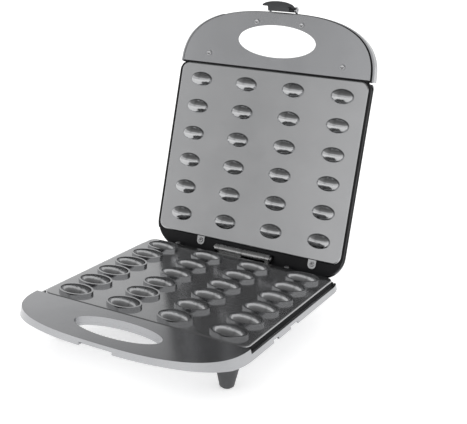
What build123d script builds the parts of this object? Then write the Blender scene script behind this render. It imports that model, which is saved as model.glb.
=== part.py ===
from build123d import *
import math
import os

os.makedirs("parts", exist_ok=True)

# Millimetres. The hinge axis is the X axis of the working frame, the handles point to -Y.
# Lid pieces are modelled closed and then turned open about the hinge axis.

# Overall form
OPEN_ANGLE = 104.0        # how far the lid stands open
HALF_WIDTH = 130.0        # hinge centre line to the lower edge of the base's bezel
HANDLE_FRONT = 287.0      # hinge axis to the front of both handles
REAR = 13.0               # housing behind the hinge axis
CROWN_HEIGHT = 54.0       # top of the closed lid above the hinge axis
FOOT_DROP = 51.0          # hinge axis above the table
HANDLE_POWER = 2.7        # roundness of the handles' outline
SHOULDER = 214.0          # where the handles' curve starts, from the hinge axis
WALL = 2.2                # housing walls
FIT = 0.3                 # clearance between pieces that only lie beside each other

# Baking plates
PLATE_HALF = 122.0
PLATE_REAR = 9.2
PLATE_FRONT = 217.8
PLATE_CORNER = 10.0
PLATE_WALL = 2.4
PLATE_EDGE = 4.2          # height of the turned edge
LOWER_PLATE_Z = -2.0      # cooking face of the lower plate
UPPER_PLATE_Z = 1.6       # cooking face of the upper plate, lid closed
COLUMNS = 4
ROWS = 6
COLUMN_PITCH = 61.5
ROW_PITCH = 33.2
FIRST_ROW = 32.3          # hinge axis to the nearest row

# Moulds of the lower plate and bumps of the upper plate
RIM_LENGTH = 40.0
RIM_WIDTH = 28.5
RIM_HEIGHT = 3.2
RIM_WALL = 2.0
BOWL_DEPTH = 12.5
BUMP_LENGTH = 28.0
BUMP_WIDTH = 17.5
BUMP_HEIGHT = 8.5

# Plate tabs
TAB_WIDTH = 10.0
TAB_THICKNESS = 1.6
TAB_INNER_X = 60.5
TAB_OUTER_X = 88.0
TAB_HOLE_Y = 4.6          # hole centre in front of the hinge axis

# Base housing
BEZEL_TOP = -1.5
BEZEL_TOP_HALF = 127.0
BEZEL_STRIP_TOP = -6.2
BEZEL_BOTTOM = -12.2
BEZEL_WALL = 2.0
BEZEL_CAP_REAR = 219.5    # rear edge of the handle's top face
SKIRT_FRONT_BOTTOM = -8.5
LIP_THICKNESS = 1.6       # inward lip at the bottom of the skirt's front
SKIRT_RISE_END = 248.0    # where the skirt has reached its full depth
SLOT_LENGTH = 100.0
SLOT_WIDTH = 37.4
SLOT_Y = 252.0
SEAM_Z = -8.2             # joint between bezel and shell inside the hand slot
SHELL_TOP = -10.8
SHELL_BOTTOM = -37.0
SHELL_HALF = 126.6
SHELL_FRONT = 233.0       # the sloping part starts behind the hand slot
HANDLE_PAN_FRONT = 274.0  # flat bottom of the handle
HANDLE_PAN_Z = -11.2
SHELL_FLOOR_HALF = 84.0
SHELL_FLOOR_FRONT = 184.0
SHELL_FLOOR_REAR = 4.0
SHELL_CORNER = 40.0
SHELL_FRONT_CORNER = 14.0
FLOOR_CORNER = 24.0
DECK_TOP = -12.0          # black deck behind the lower plate
STRIP_REAR = 12.0         # the bezel's side strips end here, in front of the hinge axis
VENT_Y = (129.0, 170.0)   # notches under the side strips
VENT_LENGTH = (17.0, 10.5)
VENT_HEIGHT = 2.6

# Base frame
FRAME_HALF = 124.5
FRAME_SEAT_WIDTH = 10.0
FRAME_FRONT_WIDTH = 7.0
FRAME_BOTTOM = -10.8
LEDGE_WIDTH = 5.0         # shell's ledge under the frame

# Feet
FRONT_FOOT_X = 99.6
FRONT_FOOT_Y = 212.5
FRONT_FOOT_TOP = -23.0
REAR_FOOT_X = 62.0
REAR_FOOT_Y = 16.0
FOOT_TOP_RADIUS = 13.0
FOOT_LOW_RADIUS = 7.2
FOOT_SOLE_RADIUS = 5.0
FOOT_SOLE_HEIGHT = 1.8

# Hinge
BARREL_RADIUS = 5.0
PIN_RADIUS = 2.0
PIN_CLEARANCE = 0.06
KNUCKLE_LENGTH = 30.4
KNUCKLE_GAP = 0.35
LUG_WIDTH = 5.5
LEAF_THICKNESS = 1.6
LEAF_SCREW_Z = -8.2
LID_LEAF_FRONT = 16.8     # front edge of the lid's leaf, from the hinge axis
LID_LEAF_SCREW_Y = 13.6

# Lid
LID_FRAME_BOTTOM = 2.4
LID_FRAME_TOP = 8.0
LID_FRAME_REAR = 8.0
LID_FRAME_SIDE = 122.7    # half width of the frame in the handle
LID_FRAME_FRONT = 286.2
LID_FRAME_CORNER = 28.0
LID_DECK_Z = 3.9
COVER_HALF = 121.5
COVER_FRONT = 285.5
COVER_THICKNESS = 1.6
WINDOW_FLARE = 6.0
LID_HALF = 125.5
LID_REAR = 10.0
HANDLE_BACK_Z = 13.0      # outer face of the lid's handle
FRONT_RIM = 8.0           # stretch behind the tip where the frame covers the shell's rim
CROWN_EDGE = 9.0
CROWN_HALF = 95.0
CROWN_FRONT = 188.0
CROWN_REAR = 12.0
CROWN_CORNER = 22.0
LID_EDGE_CORNER = 12.0

# Screws
SCREW_RADIUS = 1.5
SCREW_HEAD_RADIUS = 2.9
SCREW_HEAD_HEIGHT = 1.3
SCREW_CLEARANCE = 0.08
SCREW_BOSS_RADIUS = 4.0
COVER_SCREWS = ((87.0, 230.8), (29.0, 273.2))   # half width and distance from the hinge axis

# Latch
LATCH_WIDTH = 31.0
LATCH_PIVOT_Y = 290.9
LATCH_PIVOT_Z = 7.0
LATCH_BARREL = 3.0
LATCH_PIN_RADIUS = 1.2
LATCH_ARM = 2.2
LATCH_TIP_Z = -9.0
LATCH_LIP_HALF = 20.0
LATCH_LIP_REACH = 297.0    # hinge axis to the front of the finger lip
LATCH_LIP_THICKNESS = 3.0
LATCH_EAR_WIDTH = 2.4
RECESS_HALF = 19.0
RECESS_TOP = -5.0

# Heating
HEATER_RADIUS = 3.25
HEATER_RUN_X = 61.5
HEATER_BEND = 26.0
HEATER_FRONT = 196.0
HEATER_REAR = 30.0
COLD_PIN_RADIUS = 1.4
COLD_PIN_LENGTH = 9.0
CLAMP_Y = (82.1, 148.5)
CLAMP_POST_RADIUS = 4.0
CLAMP_WIDTH = 9.0
CLAMP_THICKNESS = 1.2
SHEET = 0.8
TRAY_HALF = 119.2
TRAY_FRONT = 212.5
TRAY_REAR = 17.3
TRAY_RIM = 5.0
TRAY_CORNER = 10.0
TRAY_FLOOR_CORNER = 32.0
TRAY_SIDE_SLOPE = 24.0
TRAY_END_SLOPE = 5.5
LOWER_TRAY_DEPTH = 12.9
UPPER_TRAY_DEPTH = 18.0
THERMOSTAT_RADIUS = 8.0
THERMOSTAT_HEIGHT = 7.0
THERMOSTAT_Y = 115.3
FUSE_RADIUS = 2.2
FUSE_LENGTH = 14.0
FUSE_Y = 60.0

# Mains inlet
GLAND_X = 22.0
GLAND_Z = -24.0
GLAND_BORE = 3.6
GLAND_NECK = 5.4
GLAND_FLANGE = 8.5
GLAND_NUT = 7.6
GLAND_FACE_Y = 9.5
GLAND_FLANGE_THICKNESS = 3.0
GLAND_LENGTH = 19.0
GLAND_PAD_HALF = 11.0

# Indicator lights
LAMP_X = 14.0
LAMP_Y = 150.0
LENS_RADIUS = 4.0
LAMP_RADIUS = 2.6
LAMP_LENGTH = 14.0


def block(x0, x1, y0, y1, z0, z1):
    """A box between two corners."""
    size = (x1 - x0, y1 - y0, z1 - z0)
    centre = ((x0 + x1) / 2, (y0 + y1) / 2, (z0 + z1) / 2)
    return Pos(*centre) * Box(*size)


def rod_x(radius, x0, x1, y, z):
    """A cylinder along X."""
    return Pos((x0 + x1) / 2, y, z) * Rot(0, 90, 0) * Cylinder(radius, x1 - x0)


def rod_y(radius, y0, y1, x, z):
    """A cylinder along Y."""
    return Pos(x, (y0 + y1) / 2, z) * Rot(90, 0, 0) * Cylinder(radius, y1 - y0)


def rod_z(radius, z0, z1, x, y):
    """A cylinder along Z."""
    return Pos(x, y, (z0 + z1) / 2) * Cylinder(radius, z1 - z0)


def handle_curve(half, front, shoulder):
    """Points of the handle's rounded outline, from the right shoulder to the left one."""
    steps = 18
    points = []
    for step in range(steps + 1):
        turn = math.pi * (1 - math.cos(math.pi * step / steps)) / 2
        across = math.copysign(abs(math.cos(turn)) ** (2 / HANDLE_POWER), math.cos(turn))
        along = abs(math.sin(turn)) ** (2 / HANDLE_POWER)
        points.append((half * across, -shoulder - (front - shoulder) * along))
    return points


def housing_outline(half, front, shoulder, rear, corner, z):
    """Plan of a housing with its handle: curved front, straight sides, rounded rear corners."""
    with BuildSketch(Plane.XY.offset(z)) as sketch:
        with BuildLine():
            nose = Spline(*handle_curve(half, front, shoulder), tangents=((0, -1), (0, 1)))
            left = Line(nose @ 1, (-half, rear - corner))
            turn_left = RadiusArc(left @ 1, (corner - half, rear), corner)
            back = Line(turn_left @ 1, (half - corner, rear))
            turn_right = RadiusArc(back @ 1, (half, rear - corner), corner)
            Line(turn_right @ 1, nose @ 0)
        make_face()
    return sketch.sketch


def panel_outline(half, front, rear, front_corner, rear_corner, z):
    """Plan of a plate or frame without the handle."""
    with BuildSketch(Plane.XY.offset(z)) as sketch:
        with BuildLine():
            right = Line((half, rear - rear_corner), (half, front_corner - front))
            turn_a = RadiusArc(right @ 1, (half - front_corner, -front), front_corner)
            near = Line(turn_a @ 1, (front_corner - half, -front))
            turn_b = RadiusArc(near @ 1, (-half, front_corner - front), front_corner)
            left = Line(turn_b @ 1, (-half, rear - rear_corner))
            turn_c = RadiusArc(left @ 1, (rear_corner - half, rear), rear_corner)
            back = Line(turn_c @ 1, (half - rear_corner, rear))
            RadiusArc(back @ 1, right @ 0, rear_corner)
        make_face()
    return sketch.sketch


def prism(outline, height):
    """An outline raised by a height."""
    return extrude(outline, amount=height, dir=(0, 0, 1))


def oval_prism(length, width, y, z0, z1):
    """An elliptical prism across the handle."""
    return prism(Pos(0, y, z0) * Ellipse(length / 2, width / 2), z1 - z0)


def oval_flare(length, width, flare, y, z0, z1):
    """An elliptical opening that widens from z0 to z1."""
    low = Pos(0, y, z0) * Ellipse(length / 2, width / 2)
    high = Pos(0, y, z1) * Ellipse(length / 2 + flare, width / 2 + flare)
    return loft([low, high], ruled=True)


def ellipsoid(length, width, height):
    """An ellipsoid of full length and width and of half height."""
    return scale(Sphere(1), by=(length / 2, width / 2, height))


def grid_places(z):
    """The places of the moulds and bumps."""
    places = []
    for column in range(COLUMNS):
        for row in range(ROWS):
            x = (column - (COLUMNS - 1) / 2) * COLUMN_PITCH
            places.append(Pos(x, -FIRST_ROW - row * ROW_PITCH, z))
    return places


def opened(shape):
    """Turn a lid piece from closed to open."""
    return shape.rotate(Axis.X, -OPEN_ANGLE)


def tab(x, z0, end_y):
    """A plate's mounting tab with a rounded end and a screw hole."""
    radius = TAB_WIDTH / 2
    root = block(x - radius, x + radius, -PLATE_REAR - PLATE_WALL / 2, end_y - radius, z0, z0 + TAB_THICKNESS)
    tip = rod_z(radius, z0, z0 + TAB_THICKNESS, x, end_y - radius)
    hole = rod_z(SCREW_RADIUS + SCREW_CLEARANCE, z0 - 1, z0 + TAB_THICKNESS + 1, x, -TAB_HOLE_Y)
    return root + tip - hole


def screw(x, y, seat_z, length, up):
    """A pan-head screw whose head sits at seat_z; up is 1 for a head above its seat."""
    head_end = seat_z + up * SCREW_HEAD_HEIGHT
    tip = seat_z - up * length
    head = rod_z(SCREW_HEAD_RADIUS, min(seat_z, head_end), max(seat_z, head_end), x, y)
    shank = rod_z(SCREW_RADIUS, min(seat_z, tip), max(seat_z, tip), x, y)
    edge = head.edges().filter_by(GeomType.CIRCLE).sort_by(Axis.Z)[-1 if up > 0 else 0]
    head = fillet(edge, SCREW_HEAD_HEIGHT / 2)
    groove_z = head_end - up * SCREW_HEAD_HEIGHT / 4
    groove = Pos(x, y, groove_z) * Box(SCREW_HEAD_RADIUS * 1.3, SCREW_HEAD_RADIUS / 4, SCREW_HEAD_HEIGHT / 2)
    cross = Pos(x, y, groove_z) * Box(SCREW_HEAD_RADIUS / 4, SCREW_HEAD_RADIUS * 1.3, SCREW_HEAD_HEIGHT / 2)
    return head + shank - groove - cross


def screw_hole(x, y, z0, z1):
    """The hole that a screw's shank runs in."""
    return rod_z(SCREW_RADIUS + SCREW_CLEARANCE, z0, z1, x, y)


def heater(z):
    """A U-shaped tubular element with its two cold pins."""
    corner = HEATER_RUN_X - HEATER_BEND
    with BuildLine() as path:
        right = Line((HEATER_RUN_X, -HEATER_REAR, z), (HEATER_RUN_X, HEATER_BEND - HEATER_FRONT, z))
        turn_a = RadiusArc(right @ 1, (corner, -HEATER_FRONT, z), HEATER_BEND)
        cross = Line(turn_a @ 1, (-corner, -HEATER_FRONT, z))
        turn_b = RadiusArc(cross @ 1, (-HEATER_RUN_X, HEATER_BEND - HEATER_FRONT, z), HEATER_BEND)
        Line(turn_b @ 1, (-HEATER_RUN_X, -HEATER_REAR, z))
    start = Plane(origin=(HEATER_RUN_X, -HEATER_REAR, z), z_dir=(0, -1, 0))
    body = sweep(start * Circle(HEATER_RADIUS), path=path.line)
    for x in (-HEATER_RUN_X, HEATER_RUN_X):
        body += rod_y(COLD_PIN_RADIUS, -HEATER_REAR - 1, COLD_PIN_LENGTH - HEATER_REAR, x, z)
    return body


def sheet_tray(z, depth, up):
    """A shallow reflector tray with a flat rim; up is 1 when its floor lies above its rim."""
    rim = prism(panel_outline(TRAY_HALF, TRAY_FRONT, -TRAY_REAR, TRAY_CORNER, TRAY_CORNER, z), up * SHEET)

    def bowl(inset, deeper):
        edge = TRAY_RIM + inset
        foot_edge = edge + TRAY_END_SLOPE
        top = panel_outline(TRAY_HALF - edge, TRAY_FRONT - edge, -TRAY_REAR - edge,
                            TRAY_CORNER, TRAY_CORNER, z - up * SHEET)
        low = panel_outline(TRAY_HALF - edge - TRAY_SIDE_SLOPE, TRAY_FRONT - foot_edge, -TRAY_REAR - foot_edge,
                            TRAY_FLOOR_CORNER, TRAY_FLOOR_CORNER, z + up * (depth - deeper))
        return loft([top, low], ruled=True)

    tray = rim + bowl(0, 0) - bowl(SHEET, SHEET)
    tray -= block(-TRAY_HALF, TRAY_HALF, -TRAY_FRONT, -TRAY_REAR, *sorted((z, z - up * 2 * SHEET)))
    half = HEATER_RADIUS + 1
    for x in (-HEATER_RUN_X, HEATER_RUN_X):
        notch_z = sorted((z, z + up * (depth - 3)))
        tray -= block(x - half, x + half, -HEATER_REAR - half, 1 - TRAY_REAR, *notch_z)
    return tray


def shell_body(inset, floor):
    """The sloping solid that the bottom housing is made from."""
    top = panel_outline(SHELL_HALF - inset, SHELL_FRONT - inset, REAR - inset,
                        SHELL_FRONT_CORNER - inset, SHELL_CORNER - inset, SHELL_TOP)
    low = panel_outline(SHELL_FLOOR_HALF - inset, SHELL_FLOOR_FRONT - inset, SHELL_FLOOR_REAR - inset,
                        FLOOR_CORNER - inset, FLOOR_CORNER - inset, floor)
    return loft([top, low], ruled=True)


def base_shell():
    """The bottom housing, sloping in from the bezel to a flat floor."""
    outer = shell_body(0, SHELL_BOTTOM)
    shell = outer - shell_body(WALL, SHELL_BOTTOM + WALL)

    pan = prism(housing_outline(SHELL_HALF, HANDLE_PAN_FRONT, SHOULDER, -SHOULDER / 2, PLATE_CORNER,
                                HANDLE_PAN_Z), WALL)
    pan &= block(-HALF_WIDTH, HALF_WIDTH, -HANDLE_FRONT, 1.5 * WALL - SHELL_FRONT,
                 HANDLE_PAN_Z, HANDLE_PAN_Z + WALL)
    pan += oval_prism(SLOT_LENGTH + 2 * WALL, SLOT_WIDTH + 2 * WALL, -SLOT_Y, HANDLE_PAN_Z, SEAM_Z)
    pan -= oval_prism(SLOT_LENGTH, SLOT_WIDTH, -SLOT_Y, HANDLE_PAN_Z, SEAM_Z)
    shell += pan

    ledge_z = FRAME_BOTTOM - WALL
    ledge = prism(panel_outline(FRAME_HALF, PLATE_FRONT, -STRIP_REAR, PLATE_CORNER, PLATE_CORNER, ledge_z), WALL)
    ledge -= prism(panel_outline(FRAME_HALF - LEDGE_WIDTH, PLATE_FRONT - LEDGE_WIDTH,
                                 -STRIP_REAR - LEDGE_WIDTH, PLATE_CORNER, PLATE_CORNER, ledge_z), WALL)
    shell += ledge & outer

    for x in (-FRONT_FOOT_X, FRONT_FOOT_X):
        shell -= screw_hole(x, -FRONT_FOOT_Y, SHELL_BOTTOM, SHELL_TOP)
    for x in (-REAR_FOOT_X, REAR_FOOT_X):
        shell -= screw_hole(x, -REAR_FOOT_Y, SHELL_BOTTOM - 1, SHELL_TOP)

    shell -= block(-HALF_WIDTH, HALF_WIDTH, -STRIP_REAR + FIT, REAR + 1, DECK_TOP, 0)
    shell += block(GLAND_X - GLAND_PAD_HALF, GLAND_X + GLAND_PAD_HALF, GLAND_FACE_Y - 3 * WALL, GLAND_FACE_Y,
                   GLAND_Z - GLAND_FLANGE - 1, GLAND_Z + GLAND_FLANGE + 1)
    shell -= rod_y(GLAND_FLANGE + FIT, GLAND_FACE_Y, REAR + 1, GLAND_X, GLAND_Z)
    shell -= rod_y(GLAND_NECK + SCREW_CLEARANCE, 0, REAR, GLAND_X, GLAND_Z)
    return shell


def base_cover():
    """The silver bezel: handle top with its hand slot, skirt and side strips."""
    def body(inset, top):
        high = housing_outline(BEZEL_TOP_HALF - inset, HANDLE_FRONT - inset, SHOULDER,
                               REAR - inset, SHELL_CORNER - inset, top)
        low = housing_outline(HALF_WIDTH - inset, HANDLE_FRONT + 1.5 - inset, SHOULDER,
                              REAR - inset, SHELL_CORNER - inset, BEZEL_BOTTOM)
        return loft([high, low], ruled=True)

    cover = body(0, BEZEL_TOP)
    cover -= body(BEZEL_WALL, BEZEL_TOP - BEZEL_WALL)
    cap_room = block(-HALF_WIDTH, HALF_WIDTH, -BEZEL_CAP_REAR, REAR + 1, BEZEL_STRIP_TOP, 0)
    cover -= cap_room
    cover -= block(-HALF_WIDTH, HALF_WIDTH, -STRIP_REAR, REAR + 1, BEZEL_BOTTOM, 0)
    cover += body(0, BEZEL_TOP) & block(-HALF_WIDTH, HALF_WIDTH, -BEZEL_CAP_REAR - BEZEL_WALL,
                                        -BEZEL_CAP_REAR, BEZEL_STRIP_TOP, BEZEL_TOP)
    lip = body(BEZEL_WALL / 2, BEZEL_TOP) & block(-HALF_WIDTH, HALF_WIDTH, -HANDLE_FRONT - 5, -SKIRT_RISE_END,
                                                  SKIRT_FRONT_BOTTOM, SKIRT_FRONT_BOTTOM + LIP_THICKNESS)
    lip -= prism(housing_outline(SHELL_HALF - WALL, HANDLE_PAN_FRONT, SHOULDER, REAR, SHELL_CORNER,
                                 SKIRT_FRONT_BOTTOM), LIP_THICKNESS)
    cover += lip

    under = Plane.YZ * make_face(Polyline((-HANDLE_FRONT - 5, BEZEL_BOTTOM - 1),
                                          (-HANDLE_FRONT - 5, SKIRT_FRONT_BOTTOM),
                                          (-HANDLE_FRONT + 4, SKIRT_FRONT_BOTTOM),
                                          (-SKIRT_RISE_END, BEZEL_BOTTOM),
                                          (-SKIRT_RISE_END, BEZEL_BOTTOM - 1), close=True))
    cover -= extrude(under, amount=HALF_WIDTH + 1, both=True)

    cover += oval_prism(SLOT_LENGTH + 2 * WALL, SLOT_WIDTH + 2 * WALL, -SLOT_Y, SEAM_Z, BEZEL_TOP)
    cover -= oval_prism(SLOT_LENGTH, SLOT_WIDTH, -SLOT_Y, SEAM_Z, BEZEL_TOP)

    cover -= block(-RECESS_HALF, RECESS_HALF, -HANDLE_FRONT - 5, -HANDLE_FRONT + 2 * BEZEL_WALL,
                   BEZEL_BOTTOM, RECESS_TOP)
    for y, length in zip(VENT_Y, VENT_LENGTH):
        for side in (-1, 1):
            notch = block(-BEZEL_WALL * 2, BEZEL_WALL * 2, -y - length / 2, -y + length / 2,
                          BEZEL_BOTTOM, BEZEL_BOTTOM + VENT_HEIGHT)
            cover -= Pos(side * HALF_WIDTH, 0, 0) * notch
    return cover


def base_frame():
    """The black frame: a seat under the lower plate's edge, a riser and the rear deck."""
    seat_top = LOWER_PLATE_Z - PLATE_EDGE
    ring = prism(panel_outline(FRAME_HALF, PLATE_FRONT + 1, -PLATE_REAR + 1, PLATE_CORNER, PLATE_CORNER,
                               FRAME_BOTTOM), seat_top - FRAME_BOTTOM)
    ring -= prism(panel_outline(FRAME_HALF - FRAME_SEAT_WIDTH, PLATE_FRONT + 1 - FRAME_FRONT_WIDTH,
                                -PLATE_REAR + 1 - FRAME_SEAT_WIDTH, PLATE_CORNER, PLATE_CORNER,
                                FRAME_BOTTOM), seat_top - FRAME_BOTTOM)
    deck = shell_body(WALL + FIT, SHELL_BOTTOM + WALL)
    deck &= block(-HALF_WIDTH, HALF_WIDTH, -STRIP_REAR + 2 * FIT, REAR, DECK_TOP - WALL, DECK_TOP)
    riser_y = -PLATE_REAR + 1
    riser_x = SHELL_HALF - SHELL_CORNER
    riser = block(-riser_x, riser_x, riser_y - WALL, riser_y, DECK_TOP - WALL, seat_top)
    frame = ring + deck + riser
    post_top = LOWER_PLATE_Z - 2 * TAB_THICKNESS
    for x in (-TAB_OUTER_X, TAB_INNER_X):
        frame += block(x - TAB_WIDTH / 2, x + TAB_WIDTH / 2, FIT - PLATE_REAR, -1.0, DECK_TOP, post_top)
        frame -= screw_hole(x, -TAB_HOLE_Y, DECK_TOP - WALL - 1, 0)
    for x in leaf_screw_places():
        frame -= rod_y(SCREW_RADIUS + SCREW_CLEARANCE, -20, 0, x, LEAF_SCREW_Z)
    return frame


def lower_plate():
    """The lower baking plate with its raised moulds and two rear tabs."""
    z = LOWER_PLATE_Z
    block_height = PLATE_EDGE
    body = prism(panel_outline(PLATE_HALF, PLATE_FRONT, -PLATE_REAR, PLATE_CORNER, PLATE_CORNER,
                               z - block_height), block_height)
    body = fillet(body.faces().sort_by(Axis.Z)[-1].edges(), 1.8)
    inset = PLATE_WALL
    body -= prism(panel_outline(PLATE_HALF - inset, PLATE_FRONT - inset, -PLATE_REAR - inset,
                                PLATE_CORNER - inset, PLATE_CORNER - inset, z - block_height),
                  block_height - PLATE_WALL)
    rim_top = z + RIM_HEIGHT
    rim = prism(Ellipse(RIM_LENGTH / 2, RIM_WIDTH / 2), -RIM_HEIGHT - PLATE_WALL)
    cup = ellipsoid(RIM_LENGTH, RIM_WIDTH, BOWL_DEPTH + RIM_WALL)
    cup &= Pos(0, 0, -BOWL_DEPTH - RIM_WALL) * Box(2 * RIM_LENGTH, 2 * RIM_WIDTH, 2 * (BOWL_DEPTH + RIM_WALL))
    cup += rim
    bowl = ellipsoid(RIM_LENGTH - 2 * RIM_WALL, RIM_WIDTH - 2 * RIM_WALL, BOWL_DEPTH)
    body += [place * cup for place in grid_places(rim_top)]
    body -= [place * bowl for place in grid_places(rim_top)]
    for x in (-TAB_OUTER_X, TAB_INNER_X):
        body += tab(x, z - 2 * TAB_THICKNESS, -0.8)
    return body


def upper_plate():
    """The upper baking plate with its bumps and two rear tabs, lid closed."""
    z = UPPER_PLATE_Z
    body = prism(panel_outline(PLATE_HALF, PLATE_FRONT, -PLATE_REAR, PLATE_CORNER, PLATE_CORNER, z), PLATE_EDGE)
    body = fillet(body.faces().sort_by(Axis.Z)[0].edges(), 1.8)
    inset = PLATE_WALL
    body -= prism(panel_outline(PLATE_HALF - inset, PLATE_FRONT - inset, -PLATE_REAR - inset,
                                PLATE_CORNER - inset, PLATE_CORNER - inset, z + PLATE_WALL),
                  PLATE_EDGE - PLATE_WALL)
    bump = ellipsoid(BUMP_LENGTH, BUMP_WIDTH, BUMP_HEIGHT)
    bump &= Pos(0, 0, -BUMP_HEIGHT) * Box(2 * BUMP_LENGTH, 2 * BUMP_WIDTH, 2 * BUMP_HEIGHT)
    hollow = ellipsoid(BUMP_LENGTH - 2 * RIM_WALL, BUMP_WIDTH - 2 * RIM_WALL, BUMP_HEIGHT - RIM_WALL)
    hollow += prism(Ellipse(BUMP_LENGTH / 2 - RIM_WALL, BUMP_WIDTH / 2 - RIM_WALL), PLATE_WALL + 1)
    body += [place * bump for place in grid_places(z)]
    body -= [place * hollow for place in grid_places(z)]
    for x in (-TAB_INNER_X, TAB_OUTER_X):
        body += tab(x, LID_DECK_Z - TAB_THICKNESS, 1.0)
    return body


def foot(x, y, top):
    """A tapered foot with a rounded sole and a counterbore for its screw."""
    sole = -FOOT_DROP
    seat = sole + 2.5 * SCREW_HEAD_HEIGHT
    with BuildSketch(Plane.XZ) as sketch:
        with BuildLine():
            Polyline((0, top), (FOOT_TOP_RADIUS, top), (FOOT_LOW_RADIUS, sole + FOOT_SOLE_HEIGHT),
                     (FOOT_SOLE_RADIUS, sole), (0, sole), close=True)
        make_face()
    body = Pos(x, y, 0) * revolve(sketch.sketch, Axis.Z)
    body -= rod_z(SCREW_HEAD_RADIUS + FIT, sole - 1, seat, x, y)
    return body - screw_hole(x, y, seat, top)


def front_foot(x):
    """A front foot: its top is cut to the slope of the shell."""
    body = foot(x, -FRONT_FOOT_Y, FRONT_FOOT_TOP)
    body += rod_z(FOOT_TOP_RADIUS, FRONT_FOOT_TOP, HANDLE_PAN_Z, x, -FRONT_FOOT_Y)
    body -= screw_hole(x, -FRONT_FOOT_Y, FRONT_FOOT_TOP, HANDLE_PAN_Z)
    return body - shell_body(0, SHELL_BOTTOM)


def foot_screws():
    """The four screws that hold the feet."""
    seat = -FOOT_DROP + 2.5 * SCREW_HEAD_HEIGHT
    group = []
    for x in (-FRONT_FOOT_X, FRONT_FOOT_X):
        group.append(screw(x, -FRONT_FOOT_Y, seat, FRONT_FOOT_TOP + WALL + 5 - seat, -1))
    for x in (-REAR_FOOT_X, REAR_FOOT_X):
        group.append(screw(x, -REAR_FOOT_Y, seat, SHELL_BOTTOM + WALL + 2 - seat, -1))
    return Compound(group)


def cord_gland():
    """The bushing that the mains lead passes through."""
    body = rod_y(GLAND_FLANGE, GLAND_FACE_Y, GLAND_FACE_Y + GLAND_FLANGE_THICKNESS, GLAND_X, GLAND_Z)
    outer_edge = body.edges().filter_by(GeomType.CIRCLE).sort_by(Axis.Y)[-1]
    body = fillet(outer_edge, GLAND_FLANGE_THICKNESS / 3)
    end = GLAND_FACE_Y + GLAND_FLANGE_THICKNESS - GLAND_LENGTH
    body += rod_y(GLAND_NECK, end, GLAND_FACE_Y, GLAND_X, GLAND_Z)
    return body - rod_y(GLAND_BORE, end, REAR + 2, GLAND_X, GLAND_Z)


def gland_nut():
    """The hexagonal nut that clamps the bushing from inside."""
    y_face = GLAND_FACE_Y - 3 * WALL
    hexagon = Plane(origin=(GLAND_X, y_face, GLAND_Z), z_dir=(0, -1, 0)) * RegularPolygon(GLAND_NUT, 6)
    nut = extrude(hexagon, amount=2 * WALL)
    return nut - rod_y(GLAND_NECK + SCREW_CLEARANCE, y_face - 3 * WALL, y_face + 1, GLAND_X, GLAND_Z)


def terminal_block():
    """The block where the mains lead meets the inner leads."""
    floor = SHELL_BOTTOM + WALL
    height = 9.0
    width = 12.0
    poles = 3
    pole_pitch = 10.0
    length = poles * pole_pitch
    x0 = -length / 2 - GLAND_X
    y0 = -2.5 * width
    body = block(x0, x0 + length, y0, y0 + width, floor, floor + height)
    for pole in range(poles):
        x = x0 + (pole + 0.5) * pole_pitch
        body -= rod_z(width / 6, floor + height / 2, floor + height, x, y0 + width / 3)
        body -= rod_y(width / 8, y0 - 1, y0 + width + 1, x, floor + height / 3)
    for pole in range(1, poles):
        x = x0 + pole * pole_pitch
        body -= block(x - 0.6, x + 0.6, y0 - 1, y0 + width + 1, floor + height * 0.7, floor + height + 1)
    return body


def thermostat(face_z, up):
    """A disc thermostat that lies against a plate; up is 1 when the plate is below it."""
    end = face_z + up * THERMOSTAT_HEIGHT
    body = rod_z(THERMOSTAT_RADIUS, *sorted((face_z, end)), 0, -THERMOSTAT_Y)
    cap_end = end + up * THERMOSTAT_HEIGHT / 2
    body += rod_z(THERMOSTAT_RADIUS * 0.6, *sorted((end, cap_end)), 0, -THERMOSTAT_Y)
    for side in (-1, 1):
        x = side * THERMOSTAT_RADIUS * 0.85
        body += block(*sorted((x, x + side * 6)), -THERMOSTAT_Y - 2.4, -THERMOSTAT_Y + 2.4,
                      *sorted((end - up * SHEET * 2, end - up * SHEET)))
    return body


def thermal_fuse():
    """The one-shot fuse under the lower plate."""
    z = LOWER_PLATE_Z - PLATE_WALL - FUSE_RADIUS - SCREW_CLEARANCE
    body = rod_y(FUSE_RADIUS, -FUSE_Y - FUSE_LENGTH / 2, -FUSE_Y + FUSE_LENGTH / 2, 0, z)
    return body + rod_y(FUSE_RADIUS / 4, -FUSE_Y - FUSE_LENGTH, -FUSE_Y + FUSE_LENGTH, 0, z)


def fuse_clip():
    """The bent strap that presses the fuse to the plate."""
    top = LOWER_PLATE_Z - PLATE_WALL
    z = top - FUSE_RADIUS - SCREW_CLEARANCE
    half = FUSE_LENGTH / 5
    outer = FUSE_RADIUS + SCREW_CLEARANCE + SHEET
    body = rod_y(outer, -FUSE_Y - half, -FUSE_Y + half, 0, z)
    body += block(-outer, outer, -FUSE_Y - half, -FUSE_Y + half, z, top)
    body += block(-3 * outer, 3 * outer, -FUSE_Y - half, -FUSE_Y + half, top - SHEET, top)
    body -= rod_y(FUSE_RADIUS + SCREW_CLEARANCE, -FUSE_Y - half, -FUSE_Y + half, 0, z)
    body -= block(-outer, outer, -FUSE_Y - half, -FUSE_Y + half, top, top + outer)
    inner = FUSE_RADIUS + SCREW_CLEARANCE
    return body - block(-inner, inner, -FUSE_Y - half, -FUSE_Y + half, z, top)


def heater_clamps(post_z, up):
    """The two bars that hold an element to its plate; up is 1 when they lie above it."""
    group = []
    reach = HEATER_RUN_X + 2 * HEATER_RADIUS
    for y in CLAMP_Y:
        bar = block(-reach, reach, -y - CLAMP_WIDTH / 2, -y + CLAMP_WIDTH / 2,
                    *sorted((post_z, post_z + up * CLAMP_THICKNESS)))
        group.append(bar - screw_hole(0, -y, post_z - 3, post_z + 3))
    return Compound(group)


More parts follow.
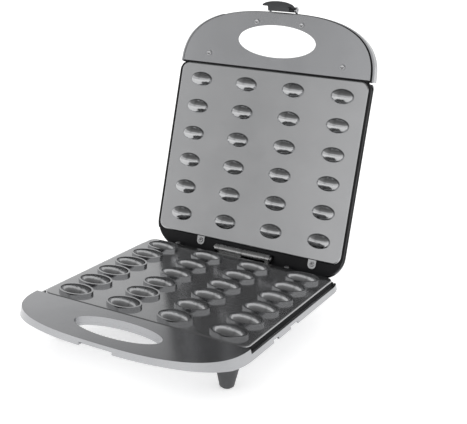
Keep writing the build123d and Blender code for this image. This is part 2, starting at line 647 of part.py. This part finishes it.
def clamp_screws(post_z, up):
    """The screws that hold the clamp bars to the posts of a plate."""
    seat = post_z + up * CLAMP_THICKNESS
    return Compound([screw(0, -y, seat, 6.0, up) for y in CLAMP_Y])


def clamp_posts(plate_back_z, post_z):
    """The posts that a plate carries for its clamp bars."""
    low, high = sorted((plate_back_z, post_z))
    return [rod_z(CLAMP_POST_RADIUS, low, high, 0, -y) - screw_hole(0, -y, post_z - 7, post_z + 7)
            for y in CLAMP_Y]


def base_hinge():
    """The base half of the hinge: one knuckle, one lug and a leaf screwed to the riser."""
    end = KNUCKLE_GAP + KNUCKLE_LENGTH
    lug = end + KNUCKLE_GAP
    leaf_y = -PLATE_REAR + 1
    web_top = LEAF_THICKNESS - BARREL_RADIUS
    body = block(-end, lug + LUG_WIDTH, leaf_y, leaf_y + LEAF_THICKNESS, DECK_TOP, web_top)
    for x0, x1 in ((-end, -KNUCKLE_GAP), (lug, lug + LUG_WIDTH)):
        body += block(x0, x1, leaf_y, 0, -BARREL_RADIUS, web_top)
        body += rod_x(BARREL_RADIUS, x0, x1, 0, 0)
    body -= rod_x(PIN_RADIUS + PIN_CLEARANCE, -2 * end, 2 * end, 0, 0)
    for x in leaf_screw_places():
        body -= rod_y(SCREW_RADIUS + SCREW_CLEARANCE, leaf_y - 1, leaf_y + 2 * LEAF_THICKNESS, x, LEAF_SCREW_Z)
    return body


def leaf_screw_places():
    """Where the screws of both hinge leaves stand along the axis."""
    reach = KNUCKLE_GAP + KNUCKLE_LENGTH
    return (-0.75 * reach, -0.2 * reach, 0.35 * reach, reach)


def base_hinge_screws():
    """The screws of the base's hinge leaf."""
    seat = -PLATE_REAR + 1 + LEAF_THICKNESS
    turn = Rot(-90, 0, 0)
    group = [Pos(x, seat, LEAF_SCREW_Z) * turn * screw(0, 0, 0, 5.0, 1) for x in leaf_screw_places()]
    return Compound(group)


def hinge_pin():
    """The pin through all knuckles, with a head at each end."""
    reach = 2 * KNUCKLE_GAP + KNUCKLE_LENGTH + LUG_WIDTH + FIT
    head = 1.5
    body = rod_x(PIN_RADIUS, -reach, reach, 0, 0)
    for side in (-1, 1):
        body += rod_x(PIN_RADIUS * 1.5, *sorted((side * reach, side * (reach + head))), 0, 0)
    return body


def lid_hinge():
    """The lid half of the hinge, lid closed; its leaf lies inside the lid on the frame."""
    end = KNUCKLE_GAP + KNUCKLE_LENGTH
    lug = end + KNUCKLE_GAP
    body = block(-lug - LUG_WIDTH, end, -LID_LEAF_FRONT, LEAF_THICKNESS - BARREL_RADIUS,
                 LID_FRAME_TOP, LID_FRAME_TOP + LEAF_THICKNESS)
    for x0, x1 in lid_knuckles():
        body += block(x0, x1, -BARREL_RADIUS, LEAF_THICKNESS - BARREL_RADIUS, 0, LID_FRAME_TOP)
        body += rod_x(BARREL_RADIUS, x0, x1, 0, 0)
    for x in leaf_screw_places():
        body -= screw_hole(-x, -LID_LEAF_SCREW_Y, LID_FRAME_TOP - 1, LID_FRAME_TOP + 2 * LEAF_THICKNESS)
    return body - rod_x(PIN_RADIUS + PIN_CLEARANCE, -2 * end, 2 * end, 0, 0)


def lid_knuckles():
    """The stretches along the axis that belong to the lid's half of the hinge."""
    end = KNUCKLE_GAP + KNUCKLE_LENGTH
    lug = end + KNUCKLE_GAP
    return ((-lug - LUG_WIDTH, -lug), (KNUCKLE_GAP, end))


def lid_hinge_screws():
    """The screws of the lid's hinge leaf."""
    seat = LID_FRAME_TOP + LEAF_THICKNESS
    return Compound([screw(-x, -LID_LEAF_SCREW_Y, seat, 4.8, 1) for x in leaf_screw_places()])


def lid_frame():
    """The black frame round the upper plate and behind the handle cover, lid closed."""
    height = LID_FRAME_TOP - LID_FRAME_BOTTOM
    frame = prism(panel_outline(FRAME_HALF, PLATE_FRONT + 1.2, LID_FRAME_REAR, PLATE_CORNER + 2,
                                LID_FRAME_CORNER, LID_FRAME_BOTTOM), height)
    floor = UPPER_PLATE_Z + COVER_THICKNESS
    rim = handle_panel(LID_FRAME_SIDE, LID_FRAME_FRONT, LID_FRAME_BOTTOM, floor, PLATE_FRONT - FIT)
    rim -= handle_panel(COVER_HALF + FIT, COVER_FRONT + FIT, 0, LID_FRAME_TOP, BEZEL_CAP_REAR - FIT)
    handle = handle_panel(LID_FRAME_SIDE, LID_FRAME_FRONT, floor, LID_FRAME_TOP, PLATE_FRONT - FIT)
    back = LID_FRAME_TOP - WALL
    hollow = handle_panel(LID_FRAME_SIDE - WALL, LID_FRAME_FRONT - WALL, back, LID_FRAME_TOP,
                          BEZEL_CAP_REAR + WALL)
    hollow -= window_flare(WALL)
    for x, y in cover_screw_places():
        hollow -= rod_z(SCREW_BOSS_RADIUS, back, LID_FRAME_TOP, x, y)
    frame += handle - hollow + rim
    pocket_top = UPPER_PLATE_Z + PLATE_EDGE
    frame -= prism(panel_outline(PLATE_HALF + FIT, PLATE_FRONT + FIT, -PLATE_REAR + FIT,
                                 PLATE_CORNER, PLATE_CORNER, 0), pocket_top)
    inset = FRAME_SEAT_WIDTH
    frame -= prism(panel_outline(FRAME_HALF - inset, PLATE_FRONT + 1 - inset, -PLATE_REAR - inset,
                                 PLATE_CORNER, PLATE_CORNER, 0), LID_FRAME_TOP)
    frame -= block(-HALF_WIDTH, HALF_WIDTH, -PLATE_REAR, LID_FRAME_REAR, 0, LID_DECK_Z)
    lug_end = 2 * KNUCKLE_GAP + KNUCKLE_LENGTH + LUG_WIDTH + 3
    frame -= rod_x(BARREL_RADIUS + 2 * FIT, -lug_end, lug_end, 0, 0)
    for x0, x1 in lid_knuckles():
        frame -= block(x0 - FIT, x1 + FIT, -BARREL_RADIUS - FIT, LEAF_THICKNESS - BARREL_RADIUS + FIT,
                       0, LID_FRAME_TOP)
    for x in leaf_screw_places():
        frame -= screw_hole(-x, -LID_LEAF_SCREW_Y, 0, LID_FRAME_TOP + 1)
    frame -= window_flare(0)
    for x, y in cover_screw_places():
        frame -= screw_hole(x, y, 0, LID_FRAME_TOP + 1)
    for x in (-TAB_INNER_X, TAB_OUTER_X):
        frame -= screw_hole(x, -TAB_HOLE_Y, 0, LID_FRAME_TOP + 1)
    return frame


def handle_panel(half, front, z0, z1, rear):
    """A slab with the handles' outline, cut off straight at the rear."""
    slab = prism(housing_outline(half, front, SHOULDER, -SHOULDER / 2, PLATE_CORNER, z0), z1 - z0)
    return slab & block(-HALF_WIDTH, HALF_WIDTH, -HANDLE_FRONT - 1, -rear, z0, z1)


def window_flare(wall):
    """The flared opening of the lid's handle, grown by a wall."""
    return oval_flare(SLOT_LENGTH + 2 * wall, SLOT_WIDTH + 2 * wall, WINDOW_FLARE, -SLOT_Y,
                      UPPER_PLATE_Z, HANDLE_BACK_Z)


def cover_screw_places():
    """Where the four screws of the lid's handle cover stand."""
    return [(side * x, -y) for x, y in COVER_SCREWS for side in (-1, 1)]


def lid_handle_cover():
    """The silver inner cover of the lid's handle, lid closed."""
    cover = handle_panel(COVER_HALF, COVER_FRONT, UPPER_PLATE_Z, UPPER_PLATE_Z + COVER_THICKNESS,
                         BEZEL_CAP_REAR)
    cover -= window_flare(0)
    for x, y in cover_screw_places():
        cover -= screw_hole(x, y, 0, LID_FRAME_TOP)
    return cover


def lid_shell():
    """The silver outer housing of the lid, lid closed."""
    def dome(inset, drop):
        low = panel_outline(LID_HALF - inset, PLATE_FRONT + 4 - inset, LID_REAR - inset,
                            LID_EDGE_CORNER, LID_FRAME_CORNER - inset, LID_FRAME_TOP)
        high = panel_outline(CROWN_HALF - inset, CROWN_FRONT - inset, -CROWN_REAR - inset,
                             CROWN_CORNER, CROWN_CORNER, CROWN_HEIGHT - drop)
        return loft([low, high], ruled=True)

    def handle(inset):
        return handle_panel(LID_HALF - inset, HANDLE_FRONT - inset, LID_FRAME_BOTTOM + 1,
                            HANDLE_BACK_Z - inset, SHOULDER + 4 - inset)

    crown = dome(0, 0)
    crown = fillet(crown.faces().sort_by(Axis.Z)[-1].edges(), CROWN_EDGE)
    shell = crown + handle(0) - dome(WALL, WALL) - handle(WALL)
    boss_room = block(-SLOT_LENGTH, SLOT_LENGTH, -HANDLE_FRONT, -SHOULDER, LID_FRAME_TOP, HANDLE_BACK_Z)
    shell += window_flare(WALL) & boss_room
    for x, y in cover_screw_places():
        shell += rod_z(SCREW_BOSS_RADIUS, LID_FRAME_TOP, HANDLE_BACK_Z - WALL / 2, x, y)
        shell -= screw_hole(x, y, 0, HANDLE_BACK_Z - WALL)
    shell -= window_flare(0)
    shell -= handle_panel(LID_FRAME_SIDE + FIT, LID_FRAME_FRONT + FIT, 0, LID_FRAME_TOP, SHOULDER)
    shell -= block(-HALF_WIDTH, HALF_WIDTH, -HANDLE_FRONT - 1, FRONT_RIM - HANDLE_FRONT, 0, LID_FRAME_TOP)
    for x in (-LAMP_X, LAMP_X):
        shell -= rod_z(LENS_RADIUS + SCREW_CLEARANCE, CROWN_HEIGHT - 2 * WALL, CROWN_HEIGHT + 1, x, -LAMP_Y)
    ear_x = LATCH_WIDTH / 2 + FIT
    for side in (-1, 1):
        x0, x1 = sorted((side * ear_x, side * (ear_x + LATCH_EAR_WIDTH)))
        shell += rod_x(LATCH_BARREL + FIT, x0, x1, -LATCH_PIVOT_Y, LATCH_PIVOT_Z)
        shell += block(x0, x1, -LATCH_PIVOT_Y, -HANDLE_FRONT + WALL / 2,
                       LID_FRAME_TOP, LATCH_PIVOT_Z + LATCH_BARREL)
        shell -= rod_x(LATCH_PIN_RADIUS + PIN_CLEARANCE, x0 - 1, x1 + 1, -LATCH_PIVOT_Y, LATCH_PIVOT_Z)
    return shell


def lens(x):
    """A domed indicator lens with an inner flange."""
    low = CROWN_HEIGHT - WALL
    body = rod_z(LENS_RADIUS, low, CROWN_HEIGHT + 0.8, x, -LAMP_Y)
    body = fillet(body.edges().filter_by(GeomType.CIRCLE).sort_by(Axis.Z)[-1], 0.7)
    return body + rod_z(LENS_RADIUS + 1.5, low - 1.2, low, x, -LAMP_Y)


def lamp(x):
    """The small lamp behind a lens."""
    top = CROWN_HEIGHT - WALL - 1.2 - FIT
    return rod_z(LAMP_RADIUS, top - LAMP_LENGTH, top, x, -LAMP_Y)


def latch():
    """The clip: barrel, arm, hook and finger lip, in its locked place, lid closed."""
    y = -LATCH_PIVOT_Y
    half = LATCH_WIDTH / 2
    arm_y = y - FIT
    body = rod_x(LATCH_BARREL, -half, half, y, LATCH_PIVOT_Z)
    body += block(-half, half, arm_y - LATCH_ARM, arm_y, LATCH_TIP_Z, LATCH_PIVOT_Z)
    hook_top = RECESS_TOP - 0.4
    hook_reach = -HANDLE_FRONT + 1.1
    side = Plane.YZ * make_face(Polyline((arm_y - 1, LATCH_TIP_Z), (arm_y, LATCH_TIP_Z), (hook_reach, hook_top - 1),
                                         (hook_reach, hook_top), (arm_y - 1, hook_top), close=True))
    body += extrude(side, amount=half - 2.5, both=True)
    lip = prism(Pos(0, arm_y, LATCH_TIP_Z) * Ellipse(LATCH_LIP_HALF, LATCH_LIP_REACH + arm_y),
                LATCH_LIP_THICKNESS)
    body += lip & block(-LATCH_LIP_HALF, LATCH_LIP_HALF, -HANDLE_FRONT - 30, arm_y,
                        LATCH_TIP_Z, LATCH_TIP_Z + LATCH_LIP_THICKNESS)
    return body - rod_x(LATCH_PIN_RADIUS + PIN_CLEARANCE, -half - 1, half + 1, y, LATCH_PIVOT_Z)


def latch_pin():
    """The pin that the latch turns on."""
    reach = LATCH_WIDTH / 2 + FIT + LATCH_EAR_WIDTH
    return rod_x(LATCH_PIN_RADIUS, -reach, reach, -LATCH_PIVOT_Y, LATCH_PIVOT_Z)


rim_top_z = LOWER_PLATE_Z + RIM_HEIGHT
lower_back = LOWER_PLATE_Z - PLATE_WALL
upper_back = UPPER_PLATE_Z + PLATE_WALL
lower_heater_z = rim_top_z - BOWL_DEPTH - RIM_WALL - FIT - HEATER_RADIUS
upper_heater_z = upper_back + FIT + HEATER_RADIUS
lower_post_z = lower_heater_z - HEATER_RADIUS - SCREW_CLEARANCE
upper_post_z = upper_heater_z + HEATER_RADIUS + SCREW_CLEARANCE

base_nodes = {
    "base_shell": base_shell(),
    "base_cover": base_cover(),
    "base_frame": base_frame(),
    "lower_plate": lower_plate() + clamp_posts(lower_back, lower_post_z),
    "lower_heater": heater(lower_heater_z),
    "lower_heater_clamps": heater_clamps(lower_post_z, -1),
    "lower_clamp_screws": clamp_screws(lower_post_z, -1),
    "lower_reflector": sheet_tray(FRAME_BOTTOM, LOWER_TRAY_DEPTH, -1),
    "lower_thermostat": thermostat(lower_back, -1),
    "thermal_fuse": thermal_fuse(),
    "fuse_clip": fuse_clip(),
    "terminal_block": terminal_block(),
    "cord_gland": cord_gland(),
    "gland_nut": gland_nut(),
    "front_foot_left": front_foot(-FRONT_FOOT_X),
    "front_foot_right": front_foot(FRONT_FOOT_X),
    "rear_foot_left": foot(-REAR_FOOT_X, -REAR_FOOT_Y, SHELL_BOTTOM),
    "rear_foot_right": foot(REAR_FOOT_X, -REAR_FOOT_Y, SHELL_BOTTOM),
    "foot_screws": foot_screws(),
    "lower_plate_screws": Compound([screw(x, -TAB_HOLE_Y, LOWER_PLATE_Z - TAB_THICKNESS, 6.5, 1)
                                             for x in (-TAB_OUTER_X, TAB_INNER_X)]),
    "base_hinge": base_hinge(),
    "base_hinge_screws": base_hinge_screws(),
    "hinge_pin": hinge_pin(),
}
lid_nodes = {
    "lid_shell": lid_shell(),
    "lid_frame": lid_frame(),
    "lid_handle_cover": lid_handle_cover(),
    "lid_handle_screws": Compound([screw(x, y, UPPER_PLATE_Z, 8.0, -1)
                                            for x, y in cover_screw_places()]),
    "upper_plate": upper_plate() + clamp_posts(upper_back, upper_post_z),
    "upper_plate_screws": Compound([screw(x, -TAB_HOLE_Y, LID_DECK_Z - TAB_THICKNESS, 5.0, -1)
                                             for x in (-TAB_INNER_X, TAB_OUTER_X)]),
    "upper_heater": heater(upper_heater_z),
    "upper_heater_clamps": heater_clamps(upper_post_z, 1),
    "upper_clamp_screws": clamp_screws(upper_post_z, 1),
    "upper_reflector": sheet_tray(LID_FRAME_TOP, UPPER_TRAY_DEPTH, 1),
    "upper_thermostat": thermostat(upper_back, 1),
    "lid_hinge": lid_hinge(),
    "lid_hinge_screws": lid_hinge_screws(),
    "power_lens": lens(-LAMP_X),
    "ready_lens": lens(LAMP_X),
    "power_lamp": lamp(-LAMP_X),
    "ready_lamp": lamp(LAMP_X),
    "latch": latch(),
    "latch_pin": latch_pin(),
}

nodes = dict(base_nodes)
for name, shape in lid_nodes.items():
    nodes[name] = opened(shape)

# The finished part stands on Z = 0 with its origin under the middle of its box
extent = Compound(list(nodes.values())).bounding_box()
shift = Vector(-extent.center().X, -extent.center().Y, -extent.min.Z)
for name, shape in nodes.items():
    export_step(Pos(*shift) * shape, f"parts/{name}.step")

pivot = Pos(0, -LATCH_PIVOT_Y, LATCH_PIVOT_Z) * Sphere(1)
latch_axis = opened(pivot).center() + shift
print("box", extent.size)
print("hinge axis", shift)
print("latch axis", latch_axis)
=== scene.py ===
import math

import bpy
from mathutils import Matrix, Vector

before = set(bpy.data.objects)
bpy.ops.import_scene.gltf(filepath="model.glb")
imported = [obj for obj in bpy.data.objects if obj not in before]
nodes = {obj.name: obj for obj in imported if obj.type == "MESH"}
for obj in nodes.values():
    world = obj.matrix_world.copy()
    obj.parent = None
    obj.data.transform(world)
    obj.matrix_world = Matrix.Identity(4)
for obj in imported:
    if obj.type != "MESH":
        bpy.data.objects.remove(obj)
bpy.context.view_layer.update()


# Materials

def new_material(name):
    """An empty node material with its shader and object coordinates."""
    material = bpy.data.materials.new(name)
    material.use_nodes = True
    tree = material.node_tree
    shader = tree.nodes["Principled BSDF"]
    place = tree.nodes.new("ShaderNodeTexCoord").outputs["Object"]
    return material, tree, shader, place


def noise(tree, place, scale, detail=3.0, roughness=0.55):
    """A noise value over the object, scale in waves per metre."""
    node = tree.nodes.new("ShaderNodeTexNoise")
    node.inputs["Scale"].default_value = scale
    node.inputs["Detail"].default_value = detail
    node.inputs["Roughness"].default_value = roughness
    tree.links.new(place, node.inputs["Vector"])
    return node.outputs["Fac"]


def spread(tree, value, low, high):
    """A noise value stretched to a range."""
    node = tree.nodes.new("ShaderNodeMapRange")
    node.inputs["From Min"].default_value = 0.3
    node.inputs["From Max"].default_value = 0.7
    node.inputs["To Min"].default_value = low
    node.inputs["To Max"].default_value = high
    tree.links.new(value, node.inputs["Value"])
    return node.outputs["Result"]


def tint(tree, value, dark, light):
    """A colour between two, led by a value."""
    node = tree.nodes.new("ShaderNodeMix")
    node.data_type = "RGBA"
    node.inputs[6].default_value = (*dark, 1)
    node.inputs[7].default_value = (*light, 1)
    tree.links.new(value, node.inputs[0])
    return node.outputs[2]


def stretched(tree, place, by):
    """Coordinates stretched along the axes, for drawn or rolled surfaces."""
    node = tree.nodes.new("ShaderNodeMapping")
    node.inputs["Scale"].default_value = by
    tree.links.new(place, node.inputs["Vector"])
    return node.outputs["Vector"]


def bump(tree, value, distance, strength=1.0):
    """A bump of a real height in metres."""
    node = tree.nodes.new("ShaderNodeBump")
    node.inputs["Distance"].default_value = distance
    node.inputs["Strength"].default_value = strength
    tree.links.new(value, node.inputs["Height"])
    return node.outputs["Normal"]


def surface(name, dark, light, metallic, roughness, grain, grain_height, along=(1, 1, 1), coat=0.0,
            specular=0.5):
    """A worn surface: tone, roughness and grain all vary over it."""
    material, tree, shader, place = new_material(name)
    broad = noise(tree, place, 22.0, 4.0)
    fine = noise(tree, stretched(tree, place, along), grain, 4.0, 0.6)
    tree.links.new(tint(tree, spread(tree, broad, 0.0, 1.0), dark, light), shader.inputs["Base Color"])
    tree.links.new(spread(tree, noise(tree, place, 60.0, 5.0, 0.65), *roughness), shader.inputs["Roughness"])
    tree.links.new(bump(tree, fine, grain_height), shader.inputs["Normal"])
    shader.inputs["Metallic"].default_value = metallic
    shader.inputs["Specular IOR Level"].default_value = specular
    shader.inputs["Coat Weight"].default_value = coat
    shader.inputs["Coat Roughness"].default_value = 0.12
    return material


silver = surface("silver_lacquer", (0.37, 0.374, 0.385), (0.40, 0.404, 0.415), 0.97, (0.15, 0.19), 900.0, 1e-6,
                 coat=0.08)
plate_coat = surface("plate_coating", (0.41, 0.413, 0.42), (0.44, 0.443, 0.45), 0.97, (0.14, 0.18), 1500.0, 1e-6)
black = surface("black_plastic", (0.006, 0.006, 0.007), (0.010, 0.010, 0.011), 0.0, (0.42, 0.55), 2200.0, 1e-5,
                specular=0.2)
latch_grey = surface("latch_plastic", (0.030, 0.031, 0.033), (0.042, 0.043, 0.046), 0.0, (0.34, 0.46), 2200.0, 1e-5,
                     specular=0.3)
foot_grey = surface("foot_rubber", (0.055, 0.056, 0.059), (0.075, 0.076, 0.079), 0.0, (0.48, 0.62), 1800.0, 2e-5,
                    specular=0.3)
hinge_steel = surface("hinge_steel", (0.50, 0.50, 0.50), (0.58, 0.58, 0.58), 1.0, (0.22, 0.32), 1500.0, 3e-6,
                      along=(0.1, 1, 1))
screw_steel = surface("screw_steel", (0.45, 0.45, 0.46), (0.56, 0.56, 0.57), 1.0, (0.24, 0.36), 2500.0, 4e-6)
sheath = surface("heater_sheath", (0.22, 0.20, 0.18), (0.34, 0.31, 0.28), 0.9, (0.40, 0.60), 1400.0, 1e-5)
sheet_metal = surface("sheet_metal", (0.62, 0.62, 0.63), (0.74, 0.74, 0.75), 1.0, (0.28, 0.42), 900.0, 4e-6,
                      along=(1, 0.08, 1))
phenolic = surface("phenolic", (0.030, 0.020, 0.015), (0.050, 0.035, 0.028), 0.0, (0.35, 0.50), 1800.0, 1e-5)
rubber = surface("black_rubber", (0.010, 0.010, 0.010), (0.018, 0.018, 0.018), 0.0, (0.50, 0.66), 2000.0, 2e-5,
                 specular=0.25)
red_clear = surface("red_lens", (0.42, 0.010, 0.008), (0.52, 0.018, 0.014), 0.0, (0.10, 0.18), 700.0, 4e-6, coat=0.6)
green_clear = surface("green_lens", (0.010, 0.30, 0.06), (0.018, 0.38, 0.09), 0.0, (0.10, 0.18), 700.0, 4e-6,
                      coat=0.6)
lamp_glass = surface("lamp_glass", (0.70, 0.70, 0.68), (0.80, 0.80, 0.78), 0.0, (0.08, 0.16), 700.0, 4e-6)

finishes = {
    silver: ["base_shell", "base_cover", "lid_shell", "lid_handle_cover"],
    plate_coat: ["lower_plate", "upper_plate"],
    black: ["base_frame", "lid_frame", "gland_nut"],
    latch_grey: ["latch"],
    foot_grey: ["front_foot_left", "front_foot_right", "rear_foot_left", "rear_foot_right"],
    hinge_steel: ["base_hinge", "lid_hinge", "hinge_pin"],
    screw_steel: ["foot_screws", "lower_plate_screws", "upper_plate_screws", "base_hinge_screws",
                  "lid_hinge_screws", "lid_handle_screws", "lower_clamp_screws", "upper_clamp_screws",
                  "latch_pin"],
    sheath: ["lower_heater", "upper_heater", "thermal_fuse"],
    sheet_metal: ["lower_reflector", "upper_reflector", "lower_heater_clamps", "upper_heater_clamps", "fuse_clip"],
    phenolic: ["lower_thermostat", "upper_thermostat", "terminal_block"],
    rubber: ["cord_gland"],
    red_clear: ["power_lens"],
    green_clear: ["ready_lens"],
    lamp_glass: ["power_lamp", "ready_lamp"],
}
for material, names in finishes.items():
    for name in names:
        mesh = nodes[name].data
        mesh.materials.clear()
        mesh.materials.append(material)


# Rounded edges and smooth faces

edge_radius = {
    "base_cover": 0.0007, "lid_shell": 0.0006, "base_shell": 0.0006, "lid_handle_cover": 0.0003,
    "base_frame": 0.0003, "lid_frame": 0.0003, "latch": 0.0006, "lower_plate": 0.0004, "upper_plate": 0.0004,
    "base_hinge": 0.0003, "lid_hinge": 0.0003, "front_foot_left": 0.0006, "front_foot_right": 0.0006,
    "rear_foot_left": 0.0006, "rear_foot_right": 0.0006,
}
for name, obj in nodes.items():
    for face in obj.data.polygons:
        face.use_smooth = True
    weld = obj.modifiers.new("weld", "WELD")
    weld.merge_threshold = 1e-6
    if name in edge_radius:
        bevel = obj.modifiers.new("edges", "BEVEL")
        bevel.width = edge_radius[name]
        bevel.segments = 2
        bevel.limit_method = "ANGLE"
        bevel.angle_limit = math.radians(38)
        bevel.use_clamp_overlap = True
    normals = obj.modifiers.new("normals", "WEIGHTED_NORMAL")
    normals.keep_sharp = True
    normals.weight = 60


# Stage, light and camera

def plain(name, colour, roughness, glow):
    """A plain surface lit from within, as the cloth of a light table is."""
    material, tree, shader, place = new_material(name)
    shader.inputs["Emission Color"].default_value = (1, 1, 1, 1)
    shader.inputs["Emission Strength"].default_value = glow
    tree.links.new(tint(tree, noise(tree, place, 3.0), colour, [c * 0.985 for c in colour]),
                   shader.inputs["Base Color"])
    shader.inputs["Roughness"].default_value = roughness
    shader.inputs["Specular IOR Level"].default_value = 0.1
    return material


bpy.ops.mesh.primitive_plane_add(size=30.0, location=(0, 0, 0))
floor = bpy.context.object
floor.name = "floor"
floor.data.materials.append(plain("floor", (0.92, 0.92, 0.92), 0.9, 0.48))

def banded(tree, levels):
    """A grey ramp with a level at each place from 0 to 1."""
    node = tree.nodes.new("ShaderNodeValToRGB")
    stops = node.color_ramp.elements
    for place, level in levels:
        stop = stops[0] if place == 0.0 else stops[-1] if place == 1.0 else stops.new(place)
        stop.color = (level, level, level, 1)
    return node


# The sky is bright near the horizon and dark overhead, as a wall of soft boxes is
world = bpy.data.worlds.new("studio")
world.use_nodes = True
sky = world.node_tree
background = sky.nodes["Background"]
direction = sky.nodes.new("ShaderNodeTexCoord").outputs["Generated"]
axes = sky.nodes.new("ShaderNodeSeparateXYZ")
sky.links.new(direction, axes.inputs[0])
height = banded(sky, ((0.0, 1.0), (0.36, 0.97), (0.50, 0.34), (1.0, 0.14)))
sky.links.new(axes.outputs["Z"], height.inputs["Fac"])
sky.links.new(height.outputs["Color"], background.inputs["Color"])

# A gap between the soft boxes ahead of the lid gives its plate a darker middle
gap = banded(sky, ((0.0, 1.0), (0.20, 1.0), (0.275, 0.62), (0.34, 1.0), (1.0, 1.0)))
across = sky.nodes.new("ShaderNodeMapRange")
across.inputs["From Min"].default_value = -1.0
sky.links.new(axes.outputs["X"], across.inputs["Value"])
sky.links.new(across.outputs["Result"], gap.inputs["Fac"])
sky.links.new(gap.outputs["Color"], background.inputs["Strength"])
bpy.context.scene.world = world


def area(name, power, size, place, target):
    """A soft box that points at a place."""
    lamp = bpy.data.lights.new(name, "AREA")
    lamp.shape = "RECTANGLE"
    lamp.size, lamp.size_y = size
    lamp.energy = power
    obj = bpy.data.objects.new(name, lamp)
    bpy.context.collection.objects.link(obj)
    obj.location = place
    obj.rotation_euler = (Vector(target) - Vector(place)).to_track_quat("-Z", "Y").to_euler()
    obj.visible_camera = False
    obj.visible_glossy = False
    return obj


area("front_left_box", 5.0, (0.5, 1.0), (-1.1, -1.2, 0.7), (0, 0.1, 0.2))

# An even, very soft light from above keeps the whole floor white
overhead = bpy.data.lights.new("overhead", "SUN")
overhead.energy = 1.5
overhead.angle = math.radians(150)
overhead_obj = bpy.data.objects.new("overhead", overhead)
bpy.context.collection.objects.link(overhead_obj)
overhead_obj.visible_glossy = False

camera_data = bpy.data.cameras.new("camera")
camera_data.lens = 69.03
camera_data.sensor_width = 36.0
camera_data.clip_start = 0.01
camera = bpy.data.objects.new("camera", camera_data)
bpy.context.collection.objects.link(camera)
right = Vector((0.8747, 0.4833, 0.0363)).normalized()
back = Vector((0.4519, -0.8404, 0.2992)).normalized()
up = back.cross(right).normalized()
right = up.cross(back).normalized()
turn = Matrix((right, up, back)).transposed().to_4x4()
camera.matrix_world = Matrix.Translation((0.46389, -0.79447, 0.41658)) @ turn
bpy.context.scene.camera = camera
bpy.context.scene.view_settings.view_transform = "Standard"
